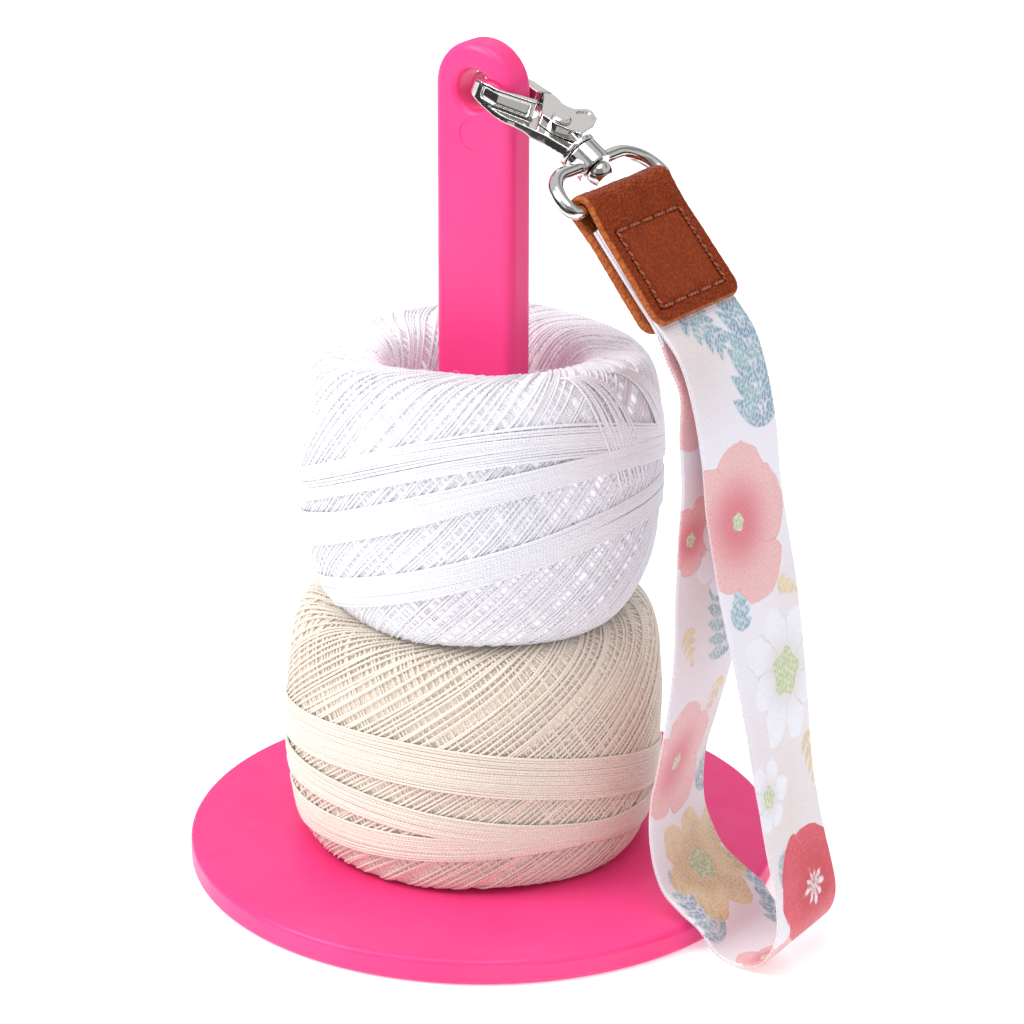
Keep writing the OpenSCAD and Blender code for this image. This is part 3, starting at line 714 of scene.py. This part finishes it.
def webbing_route():
    """The middle of the webbing in X and Z: out of the tab, down, round the bend and back up."""
    front = [(down, WEB_HALF_GAP) for down in (4.5, 12, 19, TAB_LENGTH, TAB_LENGTH + 7.5)]
    rear = [(TAB_LENGTH + 12.5, -3.6), (TAB_LENGTH + 6, -2)]
    rear += [(down, -WEB_HALF_GAP) for down in (TAB_LENGTH, 19, 12, 4.5)]
    middle = [
        (59.4, 114.8), (61.7, 104.5), (63, 94), (65.3, 83), (67.8, 72), (70.2, 61), (72.3, 49.5),
        (74.2, 38), (76.6, 27), (79.2, 17.5), (80.2, 9.5), (77.4, 3.4), (71.6, 0.9), (66.4, 1.9),
        (62.4, 5.8), (57.4, 8.4), (52.6, 12), (49.2, 20), (49, 30), (51.2, 40), (53.8, 52), (55.5, 63),
        (56.2, 75), (56.7, 88), (57.2, 98), (56.5, 108),
    ]
    points = [tab_point(*p) for p in front] + middle + [tab_point(*p) for p in rear]
    return np.array(points, dtype=float)


def smooth_route(points, step):
    """A Catmull-Rom curve through the points, cut into equal steps of about step millimetres."""
    padded = np.concatenate([points[:1], points, points[-1:]])
    fine = []
    t = np.linspace(0, 1, 40, endpoint=False)[:, None]
    for a, b, c, d in zip(padded, padded[1:], padded[2:], padded[3:]):
        square, cube = 2 * a - 5 * b + 4 * c - d, 3 * b - a - 3 * c + d
        fine.append(0.5 * (2 * b + (c - a) * t + square * t**2 + cube * t**3))
    fine = np.concatenate(fine + [points[-1:]])
    run = run_along(fine)
    places = np.linspace(0, run[-1], int(round(run[-1] / step)) + 1)
    return places, np.stack([np.interp(places, run, fine[:, k]) for k in (0, 1)], axis=1)


class Print:
    """The floral print as distances in millimetres, under 0 inside, which the material cuts off."""

    def __init__(self, along, across):
        kinds = ("pink", "white", "teal", "ochre", "red", "heart", "line")
        self.s, self.t = along, across
        self.far = {kind: np.full(along.shape, NO_PRINT) for kind in kinds}
        self.shade = np.ones(along.shape)
        self.beige = np.zeros(along.shape)

    def lobe(self, s, t, turn, length, width, peak=1.6, fullness=0.55):
        """Distance to a petal or leaflet that starts at (s, t) and runs at turn degrees."""
        cos, sin = math.cos(math.radians(turn)), math.sin(math.radians(turn))
        x = (self.s - s) * cos + (self.t - t) * sin
        y = (self.t - t) * cos - (self.s - s) * sin
        share = np.clip(x / length, 0, 1)
        half = width / 2 * np.sin(np.pi * share**peak) ** fullness
        inside = np.abs(y) - half
        beyond = np.hypot(np.where(x < 0, x, np.maximum(x - length, 0)), y)
        return np.where((x < 0) | (x > length), beyond, inside)

    def add(self, kind, distance):
        self.far[kind] = np.minimum(self.far[kind], distance)

    def blossom(self, kind, s, t, size, petals, turn, width, heart):
        """Petals round a heart; width is a petal's share of its part of the circle."""
        reach = np.hypot(self.s - s, self.t - t)
        petal_width = width * 2 * math.pi * size * 0.62 / petals
        for k in range(petals):
            length = size * (0.92 + 0.1 * math.sin(2.4 * k + s))
            lobe = self.lobe(s, t, turn + 360 * k / petals, length, petal_width)
            lobe = lobe + 0.35 * np.sin(1.1 * self.s + 0.7 * self.t + k) * (reach > 0.6 * size)
            self.add(kind, lobe)
            self.far["line"] = np.where(lobe < 0.3, np.abs(lobe), self.far["line"])
            self.shade = np.where(lobe < 0.3, np.clip(reach / size, 0, 1), self.shade)
        if heart:
            frill = 1 + 0.12 * np.sin(5 * np.arctan2(self.t - t, self.s - s))
            disc = reach - heart * size * frill
            self.add("heart", disc)
            self.far["line"] = np.where(disc < 0.2, NO_PRINT, self.far["line"])

    def leaflet(self, kind, s, t, turn, length, width):
        self.add(kind, self.lobe(s, t, turn, length, width, peak=0.9, fullness=0.9))

    def frond(self, kind, s, t, turn, length, pairs, leaf, width, bend):
        """A stem with pairs of slim leaflets that get shorter towards its tip."""
        step = length / pairs
        for k in range(pairs):
            share = k / pairs
            for side in (-1, 1):
                size = leaf * (1 - 0.45 * share)
                spread = side * (46 - 12 * share)
                self.leaflet(kind, s, t, turn + spread, size, width * (1 - 0.3 * share))
            self.add(kind, self.lobe(s, t, turn, step * 1.2, 0.8, peak=1.0, fullness=0.3))
            s += step * math.cos(math.radians(turn))
            t += step * math.sin(math.radians(turn))
            turn += bend / pairs
        self.leaflet(kind, s, t, turn, leaf * 0.8, width * 0.8)

    def mist(self, s, t, size, amount):
        """A soft beige cloud on the ground."""
        reach = np.hypot(self.s - s, (self.t - t) * 1.3) / size
        self.beige = np.maximum(self.beige, amount * np.clip(1.25 - reach, 0, 1))

    def draw(self):
        """Draws all the motifs and gives what the material reads, three numbers to a name."""
        for cloud in CLOUDS:
            self.mist(*cloud)
        for frond in FRONDS:
            self.frond(*frond)
        for blossom in BLOSSOMS:
            self.blossom(*blossom)
        f = self.far
        return {
            "PrintA": np.stack([f["pink"], self.shade, f["white"]], axis=-1),
            "PrintB": np.stack([f["teal"], f["ochre"], f["red"]], axis=-1),
            "PrintC": np.stack([f["heart"], f["line"], self.beige], axis=-1),
        }


def printed_webbing():
    """Woven satin ribbon with its print: stippled petals, dashed leaves and fine cross ribs."""
    s = Shader("printed_webbing", (0.82, 0.80, 0.87), roughness=0.42)
    run = s.uv("Strap")
    along, across, _ = s.split(run)
    pink, shade, white = s.attribute("PrintA")
    teal, ochre, red = s.attribute("PrintB")
    heart, line, beige = s.attribute("PrintC")

    def cells(pitch_along, pitch_across, turn=0.0):
        turned = s.node("Mapping", Vector=run, Rotation=(0, 0, turn)).outputs[0]
        squeezed = s.node("Mapping", Vector=turned, Scale=(1 / pitch_along, 1 / pitch_across, 1))
        voronoi = s.node("TexVoronoi", Vector=squeezed.outputs[0], Scale=1.0, Randomness=0.75)
        voronoi.voronoi_dimensions = "2D"
        return voronoi.outputs["Distance"]

    wander = s.times(s.math("SUBTRACT", s.noise(run, 0.9, 2.0), 0.5), 0.5)
    dots = s.ramp(cells(0.85, 0.85), 0.20, 0.36, 1.0, 0.0)
    dashes = s.ramp(cells(1.15, 0.55, 0.6), 0.34, 0.52, 1.0, 0.0)
    patch = s.ramp(s.noise(run, 0.16, 3.0), 0.35, 0.65)

    def within(distance, width=0.12):
        return s.ramp(s.plus(distance, wander), -width, width, 1.0, 0.0)

    def petals(fade, heart_colour, rim_colour, stipple, dot_colour, pen, pen_colour):
        """A flower's colour from heart to rim, under its dots and the lines round its petals."""
        colour = s.mix(s.ramp(shade, *fade), heart_colour, rim_colour)
        colour = s.mix(s.times(dots, stipple), colour, dot_colour)
        return s.mix(s.ramp(line, *pen, 0.0), colour, pen_colour)

    ground = s.mix(s.times(beige, 0.8), (0.83, 0.80, 0.87), (0.76, 0.655, 0.63))
    tone = s.mix(s.times(s.times(dots, beige), 0.30), ground, (0.66, 0.52, 0.50))
    leaf = s.mix(patch, (0.20, 0.34, 0.47), (0.31, 0.50, 0.53))
    tone = s.mix(s.times(within(teal, 0.35), s.plus(0.42, s.times(dashes, 0.58))), tone, leaf)
    gold = s.mix(patch, (0.66, 0.455, 0.15), (0.78, 0.60, 0.27))
    tone = s.mix(s.times(within(ochre, 0.25), s.plus(0.6, s.times(dots, 0.4))), tone, gold)
    rose = petals(
        (0.12, 0.72), (0.73, 0.19, 0.235), (0.83, 0.50, 0.50),
        s.ramp(shade, 0.2, 1.0, 0.5, 0.22), (0.70, 0.26, 0.31), (0.10, 0.34, 0.55), (0.62, 0.27, 0.33),
    )
    poppy = petals(
        (0.1, 0.8), (0.60, 0.012, 0.035), (0.74, 0.055, 0.10),
        0.5, (0.42, 0.010, 0.03), (0.1, 0.4, 0.5), (0.74, 0.22, 0.28),
    )
    daisy = petals(
        (0.2, 0.7), (0.74, 0.70, 0.72), (0.86, 0.845, 0.91),
        0.20, (0.64, 0.60, 0.68), (0.14, 0.44, 0.65), (0.66, 0.58, 0.54),
    )
    seed = s.mix(dashes, (0.70, 0.72, 0.50), (0.47, 0.55, 0.34))
    for distance, colour in ((pink, rose), (red, poppy), (white, daisy), (heart, seed)):
        tone = s.mix(within(distance), tone, colour)
    twill = s.ripple(s.plus(s.times(along, 1.6), across), 0.8)
    weave = s.plus(s.ripple(along, 0.62), s.times(twill, 0.5))
    selvedge = s.ramp(s.math("ABSOLUTE", across), 11.6, 12.0)
    weave = s.plus(weave, s.times(selvedge, s.ripple(along, 0.9)))
    return s.surface(
        Base_Color=tone,
        Roughness=s.ramp(s.noise(run, 0.6, 2.0), 0.3, 0.7, 0.36, 0.48),
        Normal=s.bump(weave, 0.28, 0.00006),
        Sheen_Weight=0.25, Sheen_Roughness=0.35, Specular_IOR_Level=0.42,
    )


def turned_out(across, height):
    """How far towards -X a place across the webbing is moved: the low part of the loop is turned
    about its own run, the near edge out and the far edge in."""
    share = np.interp(height, (0, 6, 10, 20, 35, 75), (0.4, 0.45, 0.6, 1.0, 1.0, 0.0))
    return across / (WEB_WIDTH / 2) * WEB_TURN * share


def add_webbing():
    run, line = smooth_route(webbing_route(), WEB_STEP)
    normal = side_of(line)
    edge = np.array([0, 0.05, 0.13, 0.24, 0.4])
    inner = np.linspace(-WEB_WIDTH / 2 + 0.8, WEB_WIDTH / 2 - 0.8, 47)
    across = np.concatenate([edge - WEB_WIDTH / 2, inner, (WEB_WIDTH / 2 - edge)[::-1]])
    inset = np.minimum(1, (WEB_WIDTH / 2 - np.abs(across)) / (WEB_T / 2))
    half = WEB_T / 2 * np.sqrt(np.maximum(0, 1 - (1 - inset) ** 2))
    grid_s, grid_t = np.meshgrid(run, across, indexing="ij")

    def face(side):
        x, z = (line[:, None, k] + side * half[None] * normal[:, None, k] for k in (0, 1))
        return np.stack([x - turned_out(grid_t, z), grid_t, z], axis=-1)

    verts = np.stack([face(1), face(-1)]).reshape(-1, 3)
    index = np.arange(grid_s.size).reshape(grid_s.shape)
    under = index + grid_s.size
    faces = [grid_faces(index), grid_faces(under)[:, FLIPPED]]
    for row, order in ((0, [0, 1, 2, 3]), (-1, [3, 2, 1, 0])):
        end = [index[row, :-1], index[row, 1:], under[row, 1:], under[row, :-1]]
        faces.append(np.stack(end, axis=-1)[:, order])
    faces = np.concatenate(faces)
    strap_map = np.stack([grid_s, grid_t], axis=-1).reshape(-1, 2)
    strap_map = np.concatenate([strap_map, strap_map])[faces].reshape(-1, 2)
    uvs = {"Strap": strap_map, "OFBake": strip_map(grid_s / run[-1], grid_t / WEB_WIDTH, faces)}
    webbing = add_piece("webbing", verts * MM, faces, printed_webbing(), "strap", uvs)
    for name, values in Print(grid_s, grid_t).draw().items():
        store(webbing, name, values, values)
    merge_doubles(webbing, 0.00001)
    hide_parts("webbing_loop")
    picots = add_picots(run, line, normal)


def add_picots(run, line, normal):
    """The tiny loops of thread that stand out of both long edges."""
    # its two tones are the painted lit crests and painted shaded grooves of the plies
    material = thread_material("edge_thread", (0.88, 0.86, 0.89), (0.70, 0.66, 0.70))
    pieces = []
    places = np.arange(PICOT_MARGIN, run[-1] - PICOT_MARGIN, PICOT_STEP)
    phase = places / PICOT_PITCH * 2 * np.pi
    x, z = (np.interp(places, run, line[:, k]) for k in (0, 1))
    nx, nz = (np.interp(places, run, normal[:, k]) for k in (0, 1))
    lift = PICOT_REACH * np.sin(phase)
    for name, side in (("near", -1), ("far", 1)):
        y = side * (WEB_WIDTH / 2 + (PICOT_OUT + PICOT_REACH * np.cos(phase)))
        lines = np.stack([x + lift * nx - turned_out(y, z), y, z + lift * nz], axis=-1)[None]
        normals = np.stack([nx, 0 * nx, nz], axis=-1)[None]
        piece = strands("webbing_picots_" + name, lines, normals, PICOT_R, material, "strap")
        pieces.append(piece)
    return pieces


# ---- Leather tab ----

LEATHER_T, LEATHER_STEP = 1.6, 0.2
FOLD_R, PINCH = 2.35, 6.0       # the fold's radius, and how far down the flaps come together
FLAP_OFFSET = 1.75              # from the tab's middle plane to the middle of a flap
EDGE_ROUND, RAW_EDGE = 0.75, 0.62
PEBBLE, FINE_PEBBLE = 0.95, 0.5    # pitches of the grain
GRAIN_DEPTH, GROOVE_DEPTH, HOLE_DEPTH = 0.15, 0.16, 0.5
GROOVE_R, HOLE_R = 0.62, 0.42
STITCH_NEAR, STITCH_FAR, STITCH_SIDE = 3.3, 20.1, 10.1
STITCHES_ACROSS, STITCHES_ALONG = 5, 8
STITCH_R, STITCH_POINTS = 0.29, 13
STITCH_SUNK, STITCH_RISE = 0.55, 0.63


def cell_noise(u, v, pitch, rng, size=160):
    """Distances to the nearest and the second nearest of scattered points, in pitches."""
    jitter = rng.uniform(0.08, 0.92, (size, size, 2))
    cu, cv = np.floor(u / pitch).astype(int), np.floor(v / pitch).astype(int)
    near = np.full(u.shape, 9.0)
    second = near.copy()
    for i in (-1, 0, 1):
        for j in (-1, 0, 1):
            point = jitter[(cu + i) % size, (cv + j) % size]
            gap = np.hypot(cu + i + point[..., 0] - u / pitch, cv + j + point[..., 1] - v / pitch)
            second = np.minimum(second, np.maximum(gap, near))
            near = np.minimum(near, gap)
    return near, second


def outside_by(du, dv):
    """Distance to a rectangle from how far a place is past its sides, under 0 inside."""
    return np.hypot(np.maximum(du, 0), np.maximum(dv, 0)) + np.minimum(np.maximum(du, dv), 0)


class Leather:
    """The strip of leather: folded over the ring's bar, with a flap on each side of the webbing. Its
    route is counted as in tab_point."""

    def __init__(self):
        half_turn = np.linspace(math.pi / 2, 3 * math.pi / 2, 40)
        fold = [(FOLD_R * math.cos(a), FOLD_R * math.sin(a)) for a in half_turn]
        flap = [(x, FLAP_OFFSET) for x in np.linspace(TAB_LENGTH, PINCH, 60)]
        opening = FOLD_R - FLAP_OFFSET
        slope = np.linspace(PINCH, 0, 20)[1:-1]
        flap += [(x, FLAP_OFFSET + opening * (1 - x / PINCH)) for x in slope]
        route = np.array(flap + fold + [(x, -y) for x, y in flap[::-1]])
        for _ in range(6):
            route[1:-1] = 0.25 * route[:-2] + 0.5 * route[1:-1] + 0.25 * route[2:]
        self.route, self.run = route, run_along(route)
        self.length = self.run[-1]
        self.normals = side_of(route)

    def at(self, u, values):
        """Pairs that are given along the route, read at places along the strip."""
        return (np.interp(u, self.run, values[:, k]) for k in (0, 1))

    def world(self, u, v, lift):
        """Points at a place along the strip and across it, lift outward of the leather's middle."""
        (down, out), (nd, no) = self.at(u, self.route), self.at(u, self.normals)
        down, out = down + lift * nd, out + lift * no
        v = v * np.interp(down, (-3, 6, TAB_LENGTH), (0.985, 1.0, 1.045))
        place = tab_point(down, out)
        return np.stack([place[..., 0], v, place[..., 1]], axis=-1)

    def normal(self, u):
        nd, no = self.at(u, self.normals)
        x, z = (nd * TAB_DOWN[k] + no * TAB_OUT[k] for k in (0, 1))
        return np.stack([x, 0 * nd, z], axis=-1)

    def corners(self, rear):
        """The stitched rectangle's corners as places along and across the strip."""
        near, far = STITCH_NEAR, STITCH_FAR
        if rear:
            near, far = self.length - near, self.length - far
        return [(far, -STITCH_SIDE), (far, STITCH_SIDE), (near, STITCH_SIDE), (near, -STITCH_SIDE)]

    def holes(self, rear):
        """Where the needle went through: the ends of every stitch, side by side round the rectangle."""
        corner, holes = self.corners(rear), []
        for i in range(4):
            (u0, v0), (u1, v1) = corner[i], corner[(i + 1) % 4]
            count = STITCHES_ALONG if i % 2 else STITCHES_ACROSS
            holes += [(u0 + (u1 - u0) * k / count, v0 + (v1 - v0) * k / count) for k in range(count)]
        return np.array(holes)

    def height(self, u, v):
        """How far the grain side stands out, and where it is pressed by the sewing and pierced."""
        warp = 0.35 * np.sin(1.9 * u + 1.1 * v) + 0.3 * np.sin(1.3 * v - 0.8 * u)
        rng, fine_rng = (np.random.default_rng(SEED + k) for k in (1, 2))
        near, second = cell_noise(u + warp, v + 0.5 * warp, PEBBLE, rng)
        pebble = np.minimum(1, (second - near) / 0.45) * 0.75
        near, second = cell_noise(u - 0.4 * warp, v + warp, FINE_PEBBLE, fine_rng)
        pebble = pebble + np.minimum(1, (second - near) / 0.5) * 0.25
        field, groove, pits = (np.zeros_like(u) for _ in range(3))
        for rear in (False, True):
            (far, _), _, (near, _), _ = self.corners(rear)
            middle, half = (far + near) / 2, abs(far - near) / 2
            outside = outside_by(np.abs(u - middle) - half, np.abs(v) - STITCH_SIDE)
            groove = np.maximum(groove, np.exp(-((outside / GROOVE_R) ** 2)))
            field = np.maximum(field, np.clip(-outside / 1.4, 0, 1))
            for hu, hv in self.holes(rear):
                pits = np.maximum(pits, np.exp(-(((u - hu) ** 2 + (v - hv) ** 2) / HOLE_R**2)))
        swell = 0.07 * np.sin(0.31 * u + 0.5) * np.cos(0.24 * v) + 0.05 * np.sin(0.9 * u + 0.6 * v)
        height = GRAIN_DEPTH * (pebble - 1) * (1 - 0.6 * field) - GROOVE_DEPTH * groove
        height = height - HOLE_DEPTH * pits + swell * (1 - 0.5 * field)
        return height, field, pits


def add_leather():
    leather = Leather()
    material, thread = brown_leather(), sewing_thread()
    edge = np.array([0, 0.03, 0.09, 0.17, 0.27, 0.39, 0.53, 0.68, 0.85])

    def spread(total):
        margin = edge[-1] + LEATHER_STEP
        middle = np.linspace(margin, total - margin, int(total / LEATHER_STEP))
        return np.concatenate([edge, middle, total - edge[::-1]])

    half_length, half_width = leather.length / 2, TAB_WIDTH / 2
    u, v = np.meshgrid(spread(leather.length), spread(TAB_WIDTH) - half_width, indexing="ij")
    # the square corners of the grid are drawn in to the leather's rounded ones
    r = TAB_CORNER
    cu = np.clip((np.abs(u - half_length) - half_length + r) / r, 0, 1)
    cv = np.clip((np.abs(v) - half_width + r) / r, 0, 1)
    u = u + np.sign(half_length - u) * r * cu * (1 - np.sqrt(1 - cv**2 / 2))
    v = v - np.sign(v) * r * cv * (1 - np.sqrt(1 - cu**2 / 2))
    inside = r - outside_by(np.abs(u - half_length) - half_length + r, np.abs(v) - half_width + r)
    inset = np.clip(inside / EDGE_ROUND, 0, 1)
    half = LEATHER_T / 2 * np.sqrt(np.maximum(0, 1 - (1 - inset) ** 2))
    height, field, pits = leather.height(u, v)
    ragged = 0.03 * np.sin(5.1 * u + 2.3 * v) + 0.03 * np.sin(3.7 * v - 2.9 * u)
    outer = leather.world(u, v, half + height * inset + ragged * (1 - inset))
    verts = np.stack([outer, leather.world(u, v, -half)]).reshape(-1, 3)
    index = np.arange(u.size).reshape(u.shape)
    faces = np.concatenate([grid_faces(index)[:, FLIPPED], grid_faces(index + u.size)])
    uvs = {"OFBake": strip_map(u / leather.length, v / TAB_WIDTH, faces)}
    tab = add_piece("leather_strip", verts * MM, faces, material, "strap", uvs)
    raw = np.clip(1.25 - inside / RAW_EDGE, 0, 1)
    none = np.zeros_like(raw)
    # pits also carry the painted shade of the needle holes to the material
    grain_side = np.stack([raw, field, pits], axis=-1)
    store(tab, "leather", grain_side, np.stack([none + 1, none, none], axis=-1))
    merge_doubles(tab, 0.000003)
    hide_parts("leather_tab")
    for name, node in (("sewing_front", "stitching_front"), ("sewing_rear", "stitching_rear")):
        holes = leather.holes(rear=name == "sewing_rear")
        ahead = np.roll(holes, -1, axis=0)
        share = np.linspace(0.09, 0.91, STITCH_POINTS)
        u, v = (holes[:, k, None] + (ahead - holes)[:, k, None] * share for k in (0, 1))
        arch = np.sin(np.pi * np.linspace(0, 1, STITCH_POINTS)) ** 0.45
        lift = LEATHER_T / 2 - STITCH_SUNK + arch * STITCH_RISE
        lines = leather.world(u, v, np.broadcast_to(lift, u.shape))
        piece = strands(name, lines, leather.normal(u), STITCH_R, thread, "strap", sides=8)
        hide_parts(node)


# ---- Parts that keep their CAD shape ----


def dress(material, *nodes):
    for node in nodes:
        for place in frame["nodes"][node].material_slots:
            place.material = material


def soften(node, voxel, rounds):
    """Turns a cast part's sharp CAD edges into the soft ones of a plated casting."""
    obj = frame["nodes"][node]
    remesh = obj.modifiers.new("even", "REMESH")
    remesh.mode = "VOXEL"
    remesh.voxel_size = voxel * MM
    remesh.use_smooth_shade = True
    smooth = obj.modifiers.new("soft", "SMOOTH")
    smooth.factor = 0.5
    smooth.iterations = rounds


def finish_cad():
    dress(pink_plastic(), "base_disc", "post")
    dress(plain_steel(), "base_screw", "gate_spring")
    dress(plated_metal(), "hook_body", "gate_lever", "gate_rivet", "swivel_ring")
    soften("hook_body", voxel=0.15, rounds=6)
    soften("gate_lever", voxel=0.12, rounds=5)
    soften("gate_rivet", voxel=0.08, rounds=5)
    soften("swivel_ring", voxel=0.15, rounds=4)


bpy.context.scene.view_settings.view_transform = "Standard"
add_studio()
finish_cad()
add_leather()
add_webbing()
add_balls()
